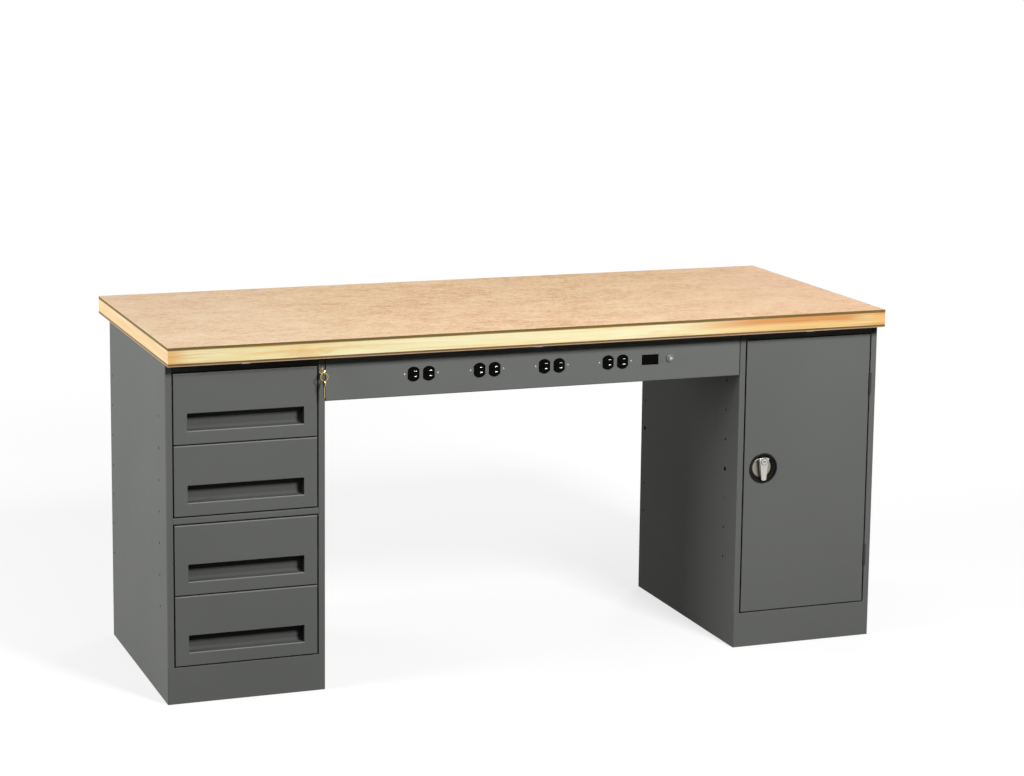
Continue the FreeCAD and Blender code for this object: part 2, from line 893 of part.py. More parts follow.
def make_handle():
    """Round dish in the door, tapered lever on a spindle, and the latch cam behind the door."""
    x, z = handle_centre()
    floor = front + dish_depth
    bore = spindle_radius + running_gap
    wall = dish_wall
    profile = [
        (bore, floor),
        (dish_floor_radius, floor),
        (dish_mouth_radius, front + lever_under),
        (dish_mouth_radius + wall, front - dish_rim),
        (dish_radius - wall, front - dish_rim),
        (dish_radius, front - dish_rim / 2),
        (dish_radius, front),
        (dish_mouth_radius + wall, front),
        (dish_mouth_radius + wall, front + lever_under + wall),
        (dish_floor_radius + wall, floor + wall),
        (bore, floor + wall),
    ]
    dish = outline(profile, plan).revolve(V(0, 0, 0), V(0, 1, 0), 360)
    add("handle_dish", moved(dish, x, 0, z))

    head_z = lever_above - lever_top_crown
    foot_z = lever_bottom_crown - lever_below
    right = [
        V(lever_top_half, 0, head_z),
        V(lever_shoulder_half, 0, lever_above - lever_shoulder_drop),
        V(lever_bottom_half, 0, foot_z),
    ]
    left = [V(-point.x, 0, point.z) for point in right]
    edges = [
        Part.Arc(left[0], V(0, 0, lever_above), right[0]).toShape(),
        Part.LineSegment(right[0], right[1]).toShape(),
        Part.LineSegment(right[1], right[2]).toShape(),
        Part.Arc(right[2], V(0, 0, -lever_below), left[2]).toShape(),
        Part.LineSegment(left[2], left[1]).toShape(),
        Part.LineSegment(left[1], left[0]).toShape(),
    ]
    lever_back = front + lever_under
    lever_front = lever_back - lever_thickness
    lever = Part.Face(Part.Wire(edges)).extrude(V(0, lever_thickness, 0))
    lever = lever.makeFillet(lever_edge_round, edges_near(lever, lambda c: c.y < 1e-6))
    lever = moved(lever, x, lever_front, z)
    cylinder_z = z + lever_above - lever_cylinder_drop
    cylinder_start = V(x, lever_front - lever_cylinder_proud, cylinder_z)
    cylinder = rod(lever_cylinder_radius, cylinder_start, cylinder_start + V(0, lever_thickness / 2, 0))
    cam_start = front + door_depth + cam_behind_door
    spindle_end = cam_start + cam_thickness
    spindle = rod(spindle_radius, V(x, lever_back - overshoot, z), V(x, cam_start, z))
    keyway = block(
        x - lever_keyway / 2, x + lever_keyway / 2,
        cylinder_start.y - overshoot, cylinder_start.y + slot_depth,
        cylinder_z - slot_width / 2, cylinder_z + slot_width / 2,
    )
    add("handle_lever", joined([lever, cylinder, spindle]).cut(keyway))

    half = cam_width / 2
    cam_points = [(-half, half), (half, half), (half, -cam_length), (-half, -cam_length)]
    cam_radii = [cam_root_round, cam_root_round, cam_tip_round, cam_tip_round]
    cam = rounded_face(cam_points, cam_radii, facing)
    cam = moved(cam.extrude(V(0, cam_thickness, 0)), x, cam_start, z)
    nut = rod(spindle_nut_radius, V(x, spindle_end, z), V(x, spindle_end + spindle_nut_thickness, z))
    add("latch_cam", joined([cam, nut]))


def make_shelf():
    """Shelf pan on four clips that hang in the side holes."""
    tab_top = lowest_side_hole + shelf_place * side_hole_pitch + side_hole_radius + clip_gauge
    half = inner_half - shelf_side_gap
    start = front + shelf_front_setback
    end = back - 2 * sheet - shelf_back_gap
    top = tab_top + sheet
    path = [
        (start, top - shelf_flange),
        (start, top),
        (end, top),
        (end, top - shelf_flange),
    ]
    shelf = bent_sheet(path, sheet, side, V(2 * half, 0, 0), bend_radius)
    add("shelf", moved(shelf, pedestal_x - half))

    clips = []
    for y in (front + front_hole_inset, back - rear_hole_inset):
        hole_z = tab_top - clip_gauge - side_hole_radius
        section = [
            (-inner_half, tab_top - clip_drop),
            (-inner_half, tab_top),
            (-inner_half + clip_reach, tab_top),
        ]
        clip = bent_sheet(section, clip_gauge, facing, V(0, clip_width, 0))
        clip = moved(clip, 0, y - clip_width / 2)
        peg_start = V(-half_width, y, hole_z)
        peg_end = V(-inner_half + clip_gauge, y, hole_z)
        peg = rod(side_hole_radius - clip_peg_play, peg_start, peg_end)
        clip = joined([clip, peg])
        clips.append(moved(clip, pedestal_x))
        clips.append(moved(mirrored(clip), pedestal_x))
    add("shelf_clips", group(clips))


def outlet_places():
    """Middles of the receptacles along the apron."""
    return [first_receptacle_x + k * receptacle_pitch for k in range(receptacle_count)]


def outlet_face(extra, y0, y1):
    """Round outlet face with flat ends, about x = 0 at the outlets' height."""
    radius = outlet_face_radius + extra
    half = outlet_face_width / 2 + extra
    disc = rod(radius, V(0, y0, outlet_row_height), V(0, y1, outlet_row_height))
    return disc.common(block(
        -half, half, y0, y1, outlet_row_height - 2 * radius, outlet_row_height + 2 * radius
    ))


def make_receptacles():
    """Duplex receptacles laid on their side, with their blade slots and ground holes."""
    body_start = front + sheet
    face_start = front - outlet_proud
    z = outlet_row_height
    body = block(
        -receptacle_body_length / 2, receptacle_body_length / 2,
        body_start, body_start + receptacle_body_depth,
        z - receptacle_body_height / 2, z + receptacle_body_height / 2,
    )
    pieces = [body]
    cuts = []
    for centre in (-outlet_pitch / 2, outlet_pitch / 2):
        pieces.append(moved(outlet_face(0.0, face_start, body_start + overshoot), centre))
        for rise, length in ((slot_spacing / 2, slot_long), (-slot_spacing / 2, slot_short)):
            middle = centre + slot_offset
            cuts.append(block(
                middle - length / 2, middle + length / 2, face_start - overshoot, face_start + slot_depth,
                z + rise - slot_width / 2, z + rise + slot_width / 2,
            ))
        ground = V(centre - ground_offset, face_start - overshoot, z)
        cuts.append(rod(ground_hole_radius, ground, ground + V(0, slot_depth + overshoot, 0)))
    receptacle = joined(pieces).cut(group(cuts))
    add("receptacles", group([moved(receptacle, x) for x in outlet_places()]))


def make_apron():
    """Apron channel with cut-outs and a seam at each end, the cover behind it and the lead's bushing."""
    low = pedestal_height - apron_height
    high = pedestal_height
    rear = front + raceway_depth
    length = V(2 * knee_half, 0, 0)
    path = [(rear, low), (front, low), (front, high), (rear, high)]
    panel = moved(bent_sheet(path, sheet, side, length, bend_radius), -knee_half)
    cut_start = front - overshoot
    cut_end = front + 2 * sheet
    cuts = []
    for end in (-knee_half, knee_half):
        cuts.append(block(
            end - apron_seam, end + apron_seam, cut_start, cut_end, low - overshoot, high + overshoot
        ))
    for x in outlet_places():
        for centre in (x - outlet_pitch / 2, x + outlet_pitch / 2):
            cuts.append(moved(outlet_face(outlet_fit, cut_start, cut_end), centre))
    switch_half = switch_width / 2 - switch_body_margin
    switch_rise = switch_height / 2 - switch_body_margin
    z = outlet_row_height + sheet
    cuts.append(block(
        switch_x - switch_half, switch_x + switch_half, cut_start, cut_end, z - switch_rise, z + switch_rise
    ))
    breaker_z = outlet_row_height + breaker_rise
    cuts.append(rod(
        breaker_bushing_radius + pin_play,
        V(breaker_x, cut_start, breaker_z), V(breaker_x, cut_end, breaker_z),
    ))
    add("apron_panel", panel.cut(group(cuts)))

    cover_path = [
        (rear - raceway_flange, high - sheet),
        (rear, high - sheet),
        (rear, low + sheet),
        (rear - raceway_flange, low + sheet),
    ]
    cover = moved(bent_sheet(cover_path, sheet, side, length), -knee_half)
    inlet_z = (low + high) / 2
    hole_start = V(inlet_x, rear - 2 * sheet, inlet_z)
    hole_end = V(inlet_x, rear + overshoot, inlet_z)
    add("raceway_cover", cover.cut(rod(inlet_hole_radius + pin_play, hole_start, hole_end)))
    profile = [
        (inlet_bore_radius, rear + inlet_flange),
        (inlet_outer_radius, rear + inlet_flange),
        (inlet_outer_radius, rear),
        (inlet_hole_radius, rear),
        (inlet_hole_radius, rear - inlet_depth),
        (inlet_bore_radius, rear - inlet_depth),
    ]
    bushing = outline(profile, plan).revolve(V(0, 0, 0), V(0, 1, 0), 360)
    add("inlet_bushing", moved(bushing, inlet_x, 0, inlet_z))


def make_switch():
    """Rocker switch: a bezel with a round-bottomed well, and the rocker that tips in it."""
    z = outlet_row_height + sheet
    half = switch_width / 2
    rise = switch_height / 2
    pivot_y = front + rocker_pivot_depth
    bezel = block(
        switch_x - half, switch_x + half, front - switch_bezel, front, z - rise, z + rise
    )
    bezel = bezel.makeFillet(
        switch_bezel / 2, edges_near(bezel, lambda c: abs(c.y - front + switch_bezel) < 1e-6)
    )
    body = block(
        switch_x - half + switch_body_margin, switch_x + half - switch_body_margin,
        front, front + switch_body_depth,
        z - rise + switch_body_margin, z + rise - switch_body_margin,
    )
    well_half = rocker_height / 2 + running_gap
    well = rod(
        rocker_radius + running_gap, V(switch_x, pivot_y, z - well_half), V(switch_x, pivot_y, z + well_half)
    )
    add("switch_housing", joined([bezel, body]).cut(well))

    low = z - rocker_height / 2
    high = z + rocker_height / 2
    drum = rod(rocker_radius, V(switch_x, pivot_y, low), V(switch_x, pivot_y, high))
    crest = front - switch_bezel - rocker_sink
    reach = 2 * rocker_radius
    ramp = reach * math.tan(math.radians(rocker_tilt))
    trim_points = [
        (0, crest),
        (reach, crest - ramp),
        (reach, crest - 2 * reach),
        (-reach, crest - 2 * reach),
        (-reach, crest - ramp),
    ]
    trim = moved(outline(trim_points, plan).extrude(V(0, 0, rocker_height)), switch_x, 0, low)
    rocker = drum.cut(trim)
    rocker.rotate(V(switch_x, pivot_y, 0), V(0, 0, 1), -rocker_tilt)
    add("switch_rocker", rocker)


def make_breaker():
    """Panel circuit breaker: body, bushing and nut, with a button that is pushed to reset it."""
    x = breaker_x
    z = outlet_row_height + breaker_rise
    half = breaker_body_size / 2
    behind = front + sheet
    nut_face = front - breaker_nut_thickness
    body = joined([
        block(x - half, x + half, behind, behind + breaker_body_depth, z - half, z + half),
        rod(breaker_bushing_radius, V(x, nut_face, z), V(x, behind + overshoot, z)),
        rod(breaker_nut_radius, V(x, nut_face, z), V(x, front, z)),
    ])
    rest = button_travel + running_gap
    button_end = behind + rest
    well = rod(button_radius + pin_play, V(x, nut_face - overshoot, z), V(x, button_end + rest, z))
    add("breaker_body", body.cut(well))
    button_start = nut_face - button_proud
    button = rod(button_radius, V(x, button_start, z), V(x, button_end, z))
    button = button.makeChamfer(
        button_bevel, edges_near(button, lambda c: abs(c.y - button_start) < 1e-6)
    )
    add("breaker_button", button)


make_worktop()
make_worktop_clips()
make_carcasses()
make_mid_rail()
make_slide_posts()
make_slides()
make_drawers()
make_lock()
make_keys()
make_door()
make_hinges()
make_handle()
make_shelf()
make_receptacles()
make_apron()
make_switch()
make_breaker()

os.makedirs("parts", exist_ok=True)
for name, shape in parts.items():
    shape.exportStep(os.path.join("parts", name + ".step"))
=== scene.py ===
"""Looks of a steel workbench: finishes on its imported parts, small fittings, studio light and camera."""
import json
import math

import bpy
import numpy as np
from mathutils import Matrix, Vector


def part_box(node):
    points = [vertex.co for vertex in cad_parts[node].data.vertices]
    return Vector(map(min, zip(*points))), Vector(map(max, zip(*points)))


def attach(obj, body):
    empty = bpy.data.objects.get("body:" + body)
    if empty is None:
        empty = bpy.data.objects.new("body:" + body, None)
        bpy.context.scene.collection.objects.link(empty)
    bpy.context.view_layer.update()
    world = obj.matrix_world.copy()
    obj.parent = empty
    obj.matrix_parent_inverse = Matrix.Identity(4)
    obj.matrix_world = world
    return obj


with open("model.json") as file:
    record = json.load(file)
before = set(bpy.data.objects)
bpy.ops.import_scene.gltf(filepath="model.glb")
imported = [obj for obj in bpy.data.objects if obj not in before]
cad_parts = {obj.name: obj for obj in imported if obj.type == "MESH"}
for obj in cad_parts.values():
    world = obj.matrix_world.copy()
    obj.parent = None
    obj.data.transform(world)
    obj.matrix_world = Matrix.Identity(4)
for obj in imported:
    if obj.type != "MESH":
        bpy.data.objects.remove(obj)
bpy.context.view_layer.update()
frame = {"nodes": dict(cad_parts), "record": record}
parts = frame["nodes"]
MM = 0.001


def corners(node):
    """A node's lowest and highest corners at rest, in millimetres."""
    return [np.array(corner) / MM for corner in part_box(node)]


# Places on the bench in millimetres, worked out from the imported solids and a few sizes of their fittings.
top_low, top_high = corners("worktop_top_skin")
backing_low = corners("worktop_bottom_skin")[0]
half_length = top_high[0]

drawers = range(1, 5)
pull_flange = 7.0
pulls = [corners(f"drawer_{number}_pull") for number in drawers]
pull_middle = (pulls[0][0][0] + pulls[0][1][0]) / 2
pull_half = (pulls[0][1][0] - pulls[0][0][0]) / 2 - pull_flange
lip_heights = [low[2] + pull_flange for low, high in pulls]
front_tops = [corners(f"drawer_{number}_front")[1][2] for number in drawers]
# Height of the painted highlight lines along the drawer fronts' edges.
highlight_height = 2.0

receptacle_count = 4
receptacle_half = 36.0
outlet_radius = 17.45
outlet_offset = 19.05
outlet_screw_offset = 41.65
slot_shift = 4.5
slot_rise = 6.35
outlets_low, outlets_high = corners("receptacles")
first_receptacle = outlets_low[0] + receptacle_half
last_receptacle = outlets_high[0] - receptacle_half
receptacle_xs = np.linspace(first_receptacle, last_receptacle, receptacle_count)
receptacle_z = outlets_high[2] - outlet_radius
receptacle_face = outlets_low[1]
panel_face = corners("apron_panel")[0][1]

dish_wall = 1.6
lock_proud = 0.8
lock_above_middle = 17.5
dish_low, dish_high = corners("handle_dish")
handle_x = (dish_low[0] + dish_high[0]) / 2
handle_z = (dish_low[2] + dish_high[2]) / 2
dish_floor = dish_high[1] - dish_wall
lever_face = corners("handle_lever")[0][1] + lock_proud
lever_lock_z = handle_z + lock_above_middle

# Linear colours that several finishes share.
enamel_low = np.array([0.142, 0.147, 0.140])
enamel_high = np.array([0.152, 0.157, 0.149])
enamel_worn = np.array([0.168, 0.172, 0.163])
zinc_dark = np.array([0.13, 0.13, 0.13])
zinc_light = np.array([0.22, 0.22, 0.21])
# Colour of the painted highlights on the drawer fronts.
highlight_grey = (0.30, 0.305, 0.285, 1.0)
# Near black, painted as shade in seams and on the pulls' end walls.
painted_shade_black = (0.008, 0.008, 0.008, 1.0)


class Wire:
    """A socket of one node tree. Arithmetic on it adds Math nodes, and node() adds any other node."""

    def __init__(self, tree, socket=None):
        self.tree = tree
        self.socket = socket

    def node(self, kind, settings=(), sockets=(), out=0):
        """Adds a node: settings first, ramp stops among them, then the values or links of its sockets."""
        made = self.tree.nodes.new("ShaderNode" + kind)
        for name, value in dict(settings).items():
            if name == "stops":
                set_stops(made.color_ramp, value)
            else:
                setattr(made, name, value)
        for name, value in dict(sockets).items():
            if isinstance(value, Wire):
                self.tree.links.new(value.socket, made.inputs[name])
            else:
                made.inputs[name].default_value = value
        return Wire(self.tree, made.outputs[out])

    def also(self, out):
        """Another output of the same node."""
        return Wire(self.tree, self.socket.node.outputs[out])

    def maths(self, operation, *values):
        """A Math node on values, in the order of its sockets."""
        return self.node("Math", {"operation": operation}, dict(enumerate(values)))

    def __add__(self, other):
        return self.maths("ADD", self, other)

    def __sub__(self, other):
        return self.maths("SUBTRACT", self, other)

    def __rsub__(self, other):
        return self.maths("SUBTRACT", other, self)

    def __mul__(self, other):
        return self.maths("MULTIPLY", self, other)

    def __abs__(self):
        return self.maths("ABSOLUTE", self)

    __radd__ = __add__
    __rmul__ = __mul__


def set_stops(ramp, stops):
    """Gives a colour ramp its stops, each a place and a linear colour with alpha."""
    while len(ramp.elements) < len(stops):
        ramp.elements.new(1.0)
    for element, (place, colour) in zip(ramp.elements, stops):
        element.position = place
        element.color = colour


def object_place(start):
    """Object coordinates, which are the bench's own metres at rest."""
    return start.node("TexCoord", out="Object")


def axes(place):
    """The three coordinates of a place."""
    x = place.node("SeparateXYZ", sockets={0: place})
    return x, x.also("Y"), x.also("Z")


def stretched(place, scale, shift=(0.0, 0.0, 0.0)):
    """Coordinates scaled by three factors and then shifted."""
    return place.node("Mapping", sockets={"Vector": place, "Scale": scale, "Location": shift})


def noise(place, scale, detail=2.0, rough=0.5, distort=0.0):
    """Smooth noise from 0 to 1 whose spots are about 1/scale metres wide."""
    sockets = {"Vector": place, "Scale": scale, "Detail": detail, "Roughness": rough, "Distortion": distort}
    return place.node("TexNoise", sockets=sockets)


def rgb(red, green, blue):
    """Linear colour, with alpha, of an 8-bit screen colour."""
    screen = np.array([red, green, blue]) / 255.0
    linear = np.where(screen <= 0.04045, screen / 12.92, ((screen + 0.055) / 1.055) ** 2.4)
    return (*linear.tolist(), 1.0)


def ramp(value, stops):
    """Colours along a value: each stop is a place and an 8-bit screen colour."""
    linear = [(place, rgb(*colour)) for place, colour in stops]
    return value.node("ValToRGB", {"stops": linear}, {0: value})


def rise(value, low, high):
    """0 below low, 1 above high, with a smooth step between."""
    sockets = {"Value": value, "From Min": low, "From Max": high}
    return value.node("MapRange", {"interpolation_type": "SMOOTHSTEP"}, sockets)


def stretch_of(value, start, full, fading, end):
    """Rises from 0 at start to 1 at full, and falls from there at fading to 0 at end."""
    return rise(value, start, full) * (1.0 - rise(value, fading, end))


def blend_colour(share, first, second, way="MIX"):
    """First colour where share is 0, second where it is 1."""
    settings = {"data_type": "RGBA", "blend_type": way}
    return share.node("Mix", settings, {0: share, 6: first, 7: second}, out=2)


def bump(height, strength, distance):
    """Normal of a skin that a height of 1 lifts by a distance in metres."""
    return height.node("Bump", sockets={"Height": height, "Strength": strength, "Distance": distance})


def finish(name, varying, fixed):
    """A material: constants set on the shader's sockets, and what varying() returns linked to its sockets."""
    material = bpy.data.materials.new(name)
    material.use_nodes = True
    tree = material.node_tree
    shader = tree.nodes["Principled BSDF"]
    for socket, value in fixed.items():
        shader.inputs[socket].default_value = value
    for socket, wire in varying(Wire(tree)).items():
        tree.links.new(wire.socket, shader.inputs[socket])
    return material


def enamel_coat(start, brightness):
    """Satin grey enamel: tone drifts slowly over a panel, roughness is cloudy, and the skin has orange peel.

    brightness scales its colour: 1 for the plain coat, below 1 for painted shade and above 1 for painted
    light.
    """
    place = object_place(start)
    drift = noise(place, 2.2, 3.0)
    haze = noise(place, 26.0, 4.0, 0.6)
    peel = noise(place, 620.0, 2.0)
    low, high, worn = ((*(brightness * tone), 1.0) for tone in (enamel_low, enamel_high, enamel_worn))
    tone = blend_colour(rise(drift, 0.3, 0.7), low, high)
    tone = blend_colour(rise(haze, 0.55, 0.85) * 0.12, tone, worn)
    return {
        "Base Color": tone,
        "Roughness": 0.50 + 0.10 * haze,
        "Normal": bump(peel, 0.12, 0.0002),
    }


def highlight_line(z, edge, solid, faded):
    """Painted highlight: 1 on a line just under an edge, fading out between two shares of highlight_height
    from the line's middle.
    """
    off = abs(z - (edge - highlight_height / 2) * MM)
    return 1.0 - rise(off, highlight_height * solid * MM, highlight_height * faded * MM)


def highlighted_front(start):
    """Enamel of the drawer fronts, with painted highlights: paler lines along the top edge and the pull
    window's lower edge, where their rounded edges catch light.
    """
    coat = enamel_coat(start, 1.0)
    x, y, z = axes(object_place(start))
    patchy = 0.75 + 0.25 * noise(object_place(start), 35.0, 2.0)
    beside_window = rise(abs(x - pull_middle * MM), (pull_half - 1.0) * MM, pull_half * MM)
    tone = coat["Base Color"]
    for top_edge, lip_edge in zip(front_tops, lip_heights):
        top_highlight = highlight_line(z, top_edge, 0.4, 0.6)
        lip_highlight = highlight_line(z, lip_edge, 0.5, 0.7)
        tone = blend_colour(top_highlight * patchy * 0.7, tone, highlight_grey)
        tone = blend_colour(lip_highlight * (1.0 - beside_window) * patchy, tone, highlight_grey)
    coat["Base Color"] = tone
    return coat


def grey_enamel(start):
    """The full coat on panels and sides."""
    return enamel_coat(start, 1.0)


def side_enamel(start):
    """Enamel of the inner sides, with painted shade: near black on the sheet behind the apron's ends, so the
    seam there stays dark.
    """
    coat = enamel_coat(start, 1.0)
    x, y, z = axes(object_place(start))
    low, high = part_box("apron_panel")
    behind = stretch_of(y, low.y + 1.0 * MM, low.y + 1.8 * MM, high.y - 2.0 * MM, high.y)
    outside = 1.0 - rise(abs(x), high.x + 0.4 * MM, high.x + 0.9 * MM)
    seam_shade = behind * outside * rise(z, low.z, low.z + 1.0 * MM)
    coat["Base Color"] = blend_colour(seam_shade, coat["Base Color"], painted_shade_black)
    return coat


def trough_enamel(start):
    """Enamel inside the recessed pulls darkened as painted shade, and near black painted shade on their end
    walls.
    """
    coat = enamel_coat(start, 0.72)
    x, y, z = axes(object_place(start))
    end_wall_shade = rise(abs(x - pull_middle * MM), (pull_half - 1.5) * MM, (pull_half - 0.5) * MM)
    coat["Base Color"] = blend_colour(end_wall_shade * 0.85, coat["Base Color"], painted_shade_black)
    return coat


def door_enamel(start):
    """Enamel of the door, with painted shade: near black on its closing edge, behind the front face, so its
    seam stays dark.
    """
    coat = enamel_coat(start, 1.0)
    x, y, z = axes(object_place(start))
    low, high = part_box("door_panel")
    at_side = 1.0 - rise(x, low.x + 0.2 * MM, low.x + 0.5 * MM)
    edge_shade = at_side * rise(y, low.y + 0.8 * MM, low.y + 1.6 * MM)
    coat["Base Color"] = blend_colour(edge_shade * 0.75, coat["Base Color"], painted_shade_black)
    return coat


def apron_enamel(start):
    """The pedestals' enamel a shade paler, as painted light on the apron."""
    return enamel_coat(start, 1.12)


def shaded_enamel(start):
    """Enamel darkened as painted shade, on the hinges and on the frame over the drawers, where shadow falls.
    """
    return enamel_coat(start, 0.42)


def hardboard(start):
    """Tempered hardboard: mottled tan face with long flecks; sawn edges darker and layered.

    The face is browner towards the right end and paler towards the left, in metres from the middle.
    """
    place = object_place(start)
    x, y, z = axes(place)
    cloud = noise(stretched(place, (1.0, 1.6, 1.0)), 9.0, 4.0, 0.6, 0.4)
    fleck = noise(stretched(place, (1.0, 1.7, 1.0)), 48.0, 5.0, 0.7, 0.3)
    fibre = noise(stretched(place, (1.0, 2.0, 1.0)), 190.0, 3.0, 0.6)
    face = ramp(0.26 * cloud + 0.40 * fleck + 0.34 * fibre, [
        (0.405, (214, 167, 121)),
        (0.472, (239, 197, 154)),
        (0.528, (248, 213, 172)),
        (0.61, (253, 229, 195)),
    ])
    along = x + 0.1 * cloud
    pale_end = 1.0 - rise(along, -0.65, -0.20)
    face = blend_colour(rise(along, 0.35, 0.95), face, rgb(236, 222, 206), "MULTIPLY")
    face = blend_colour(rise(along, -0.05, 0.45), face, rgb(246, 244, 236), "MULTIPLY")
    face = blend_colour(0.24 * pale_end, face, rgb(255, 240, 214))
    layers = noise(stretched(place, (12.0, 12.0, 700.0)), 1.0, 4.0, 0.6)
    edge = ramp(layers, [(0.30, (94, 77, 42)), (0.55, (124, 103, 60)), (0.75, (148, 122, 78))])
    on_face = rise(z, (top_high[2] - 1.0) * MM, (top_high[2] - 0.2) * MM)
    return {
        "Base Color": blend_colour(on_face, edge, face),
        "Roughness": 0.58 + 0.16 * fleck,
        "Normal": bump(fibre + 0.5 * fleck, 0.10, 0.0003),
    }


def underside_board(start):
    """Brown backing board, with fine layers on its edge and a paler line along its lower arris."""
    place = object_place(start)
    x, y, z = axes(place)
    layers = noise(stretched(place, (9.0, 9.0, 500.0)), 1.0, 4.0, 0.6)
    body = ramp(layers, [(0.30, (92, 68, 42)), (0.70, (132, 104, 72))])
    low_line = 1.0 - rise(z, (backing_low[2] + 1.1) * MM, (backing_low[2] + 2.9) * MM)
    fibre = noise(stretched(place, (1.0, 3.0, 1.0)), 300.0, 3.0)
    return {
        "Base Color": blend_colour(low_line * 0.85, body, rgb(200, 168, 132)),
        "Roughness": 0.62 + 0.12 * fibre,
        "Normal": bump(fibre, 0.12, 0.0003),
    }


def pine_strip(start):
    """Pale softwood edging: grain runs along each strip, and the short ends have a plainer, darker wood.

    Along the front, in metres from the middle, a knotty stretch, a plain one and a band of amber heartwood
    follow each other, and the wood ripens towards the right. A glue line runs under the top skin.
    """
    place = object_place(start)
    x, y, z = axes(place)
    on_end = rise(abs(x), (half_length - 0.6) * MM, (half_length - 0.2) * MM)
    corner = rise(abs(x), (half_length - 59.5) * MM, (half_length - 2.5) * MM) * (1.0 - on_end)
    heartwood = stretch_of(x, 0.30, 0.58, 0.80, 0.88)
    knot = stretch_of(x, -0.66, -0.60, -0.57, -0.50)
    plain = stretch_of(x, -0.50, -0.40, 0.20, 0.34)
    front_grain = noise(stretched(place, (3.0, 130.0, 130.0)), 1.0, 5.0, 0.62, 0.6)
    side_grain = noise(stretched(place, (130.0, 3.0, 130.0)), 1.0, 5.0, 0.62, 0.6)
    grain = front_grain * (1.0 - on_end) + side_grain * on_end
    figure = noise(stretched(place, (4.5, 6.0, 42.0), (3.1, 0.0, 1.7)), 1.0, 3.0, 0.6, 1.2)
    lines = noise(stretched(place, (5.0, 5.0, 420.0)), 1.0, 3.0, 0.6)
    wander = noise(stretched(place, (2.4, 0.0, 0.0)), 1.0, 2.0)
    heart_height, heart_wander = 0.828, 0.016
    band = 1.0 - rise(abs(z - heart_height - heart_wander * wander), 0.003, 0.015)
    wood = ramp(grain, [
        (0.26, (242, 204, 138)),
        (0.45, (248, 232, 177)),
        (0.62, (249, 243, 201)),
        (0.80, (249, 245, 212)),
    ])
    streak = rise(figure + 0.05 * knot, 0.54, 0.76) * (0.16 + 0.45 * grain) * (1.0 - 0.7 * plain)
    streak = streak.maths("MAXIMUM", streak, heartwood * band * (0.30 + 0.75 * lines))
    wood = blend_colour(streak, wood, rgb(220, 138, 66))
    fine = rise(lines, 0.50, 0.60) * (0.05 + 0.35 * rise(abs(x), 0.78, 0.90))
    wood = blend_colour(fine, wood, rgb(206, 142, 78))
    wood = blend_colour(1.0 - rise(x, -0.56, -0.42), wood, rgb(255, 251, 241), "MULTIPLY")
    wood = blend_colour(rise(x, 0.20, 0.70), wood, rgb(244, 220, 192), "MULTIPLY")
    tanned = ramp(grain, [(0.30, (228, 156, 82)), (0.70, (246, 198, 126))])
    pale_end = ramp(grain, [(0.30, (224, 184, 126)), (0.70, (242, 214, 166))])
    wood = blend_colour(on_end, blend_colour(corner * 0.85, wood, tanned), pale_end)
    glue = rise(z, (top_low[2] - 1.8) * MM, (top_low[2] - 1.2) * MM)
    return {
        "Base Color": blend_colour(glue * 0.85, wood, rgb(132, 110, 66)),
        "Roughness": 0.48 + 0.14 * grain,
        "Normal": bump(grain, 0.10, 0.0003),
    }


def zinc_plate(start):
    """Bright zinc plate: a cellular spangle of tones, with drawn lines along the stock."""
    place = object_place(start)
    cells = place.node("TexVoronoi", sockets={"Vector": place, "Scale": 70.0}, out="Color")
    spangle = place.node("RGBToBW", sockets={0: cells})
    drawn = noise(stretched(place, (40.0, 2.0, 900.0)), 1.0, 3.0)
    return {
        "Base Color": blend_colour(spangle, (0.34, 0.35, 0.35, 1.0), (0.46, 0.47, 0.46, 1.0)),
        "Roughness": 0.30 + 0.10 * spangle + 0.10 * drawn,
        "Normal": bump(drawn, 0.06, 0.0002),
    }


def satin_chrome(start):
    """Satin chrome on the lever: fine upright brush lines over a soft mottling."""
    place = object_place(start)
    brush = noise(stretched(place, (2600.0, 600.0, 60.0)), 1.0, 3.0)
    smear = noise(place, 90.0, 3.0)
    return {
        "Base Color": blend_colour(smear, (0.46, 0.45, 0.42, 1.0), (0.60, 0.59, 0.56, 1.0)),
        "Roughness": 0.24 + 0.12 * brush,
        "Normal": bump(brush, 0.10, 0.0001),
    }


def bright_chrome(start):
    """Polished plate with faint wiping marks."""
    place = object_place(start)
    wipe = noise(stretched(place, (500.0, 500.0, 120.0)), 1.0, 3.0)
    return {
        "Base Color": blend_colour(wipe, (0.46, 0.46, 0.45, 1.0), (0.62, 0.62, 0.61, 1.0)),
        "Roughness": 0.10 + 0.14 * wipe,
    }


def key_brass(start):
    """Bright brass with handling marks that dull and darken it in patches."""
    place = object_place(start)
    patch = noise(place, 220.0, 4.0, 0.6)
    return {
        "Base Color": blend_colour(patch, (0.34, 0.24, 0.08, 1.0), (0.66, 0.50, 0.22, 1.0)),
        "Roughness": 0.16 + 0.26 * patch,
        "Normal": bump(patch, 0.08, 0.0002),
    }


def moulded_black(start):
    """Black moulded plastic with a fine spark-eroded grain."""
    place = object_place(start)
    grain = noise(place, 1800.0, 2.0)
    cloud = noise(place, 60.0, 3.0)
    return {
        "Base Color": blend_colour(cloud, (0.0015, 0.0015, 0.0015, 1.0), (0.003, 0.003, 0.003, 1.0)),
        "Roughness": 0.34 + 0.14 * cloud,
        "Normal": bump(grain, 0.10, 0.0001),
    }


def black_enamel(start):
    """Gloss black enamel on the handle's dish, with slight orange peel."""
    place = object_place(start)
    peel = noise(place, 420.0, 2.0)
    cloud = noise(place, 50.0, 3.0)
    return {
        "Base Color": blend_colour(cloud, (0.004, 0.004, 0.004, 1.0), (0.008, 0.008, 0.008, 1.0)),
        "Roughness": 0.22 + 0.12 * cloud,
        "Normal": bump(peel, 0.08, 0.0002),
    }


